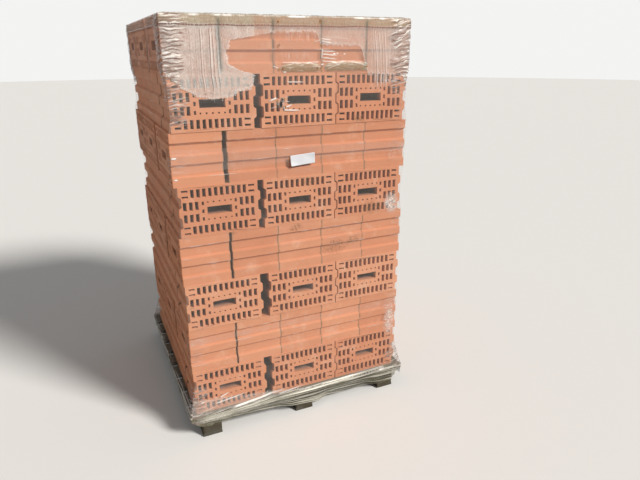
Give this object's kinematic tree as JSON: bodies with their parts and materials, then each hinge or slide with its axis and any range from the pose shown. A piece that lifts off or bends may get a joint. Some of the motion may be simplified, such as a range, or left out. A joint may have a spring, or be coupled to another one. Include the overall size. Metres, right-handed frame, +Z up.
{
  "type": "pallet of bricks",
  "caption": "Stretch-wrapped stack of perforated clay blocks with tongue-and-groove ends, laid crosswise in layers on a wooden block pallet.",
  "frame": {"origin": "middle of the pallet's footprint, on the floor", "axes": "+Z up; -Y looks towards the front, where the first layer shows its perforated faces"},
  "size_m": [1.252, 1.252, 2.051],
  "materials": {
    "clay": "dry matt fired clay",
    "clay_core": "dry matt fired clay",
    "wood_deck": "weathered sawn softwood",
    "wood_skid": "weathered sawn softwood",
    "film": "clear stretch film, wrinkled",
    "paper": "bare white paper"
  },
  "bodies": {
    "root": {"clay_blocks_layer_1": "clay", "clay_blocks_layer_2": "clay", "clay_blocks_layer_3": "clay", "clay_blocks_layer_4": "clay", "clay_blocks_layer_5": "clay", "clay_blocks_layer_6": "clay", "clay_blocks_layer_7": "clay", "clay_blocks_layer_8": "clay", "stack_core": "clay_core", "deck_boards": "wood_deck", "stringer_boards": "wood_skid", "pallet_blocks": "wood_skid", "bottom_runners": "wood_skid", "stretch_film": "film", "paper_label": "paper"}
  },
  "joints": []
}
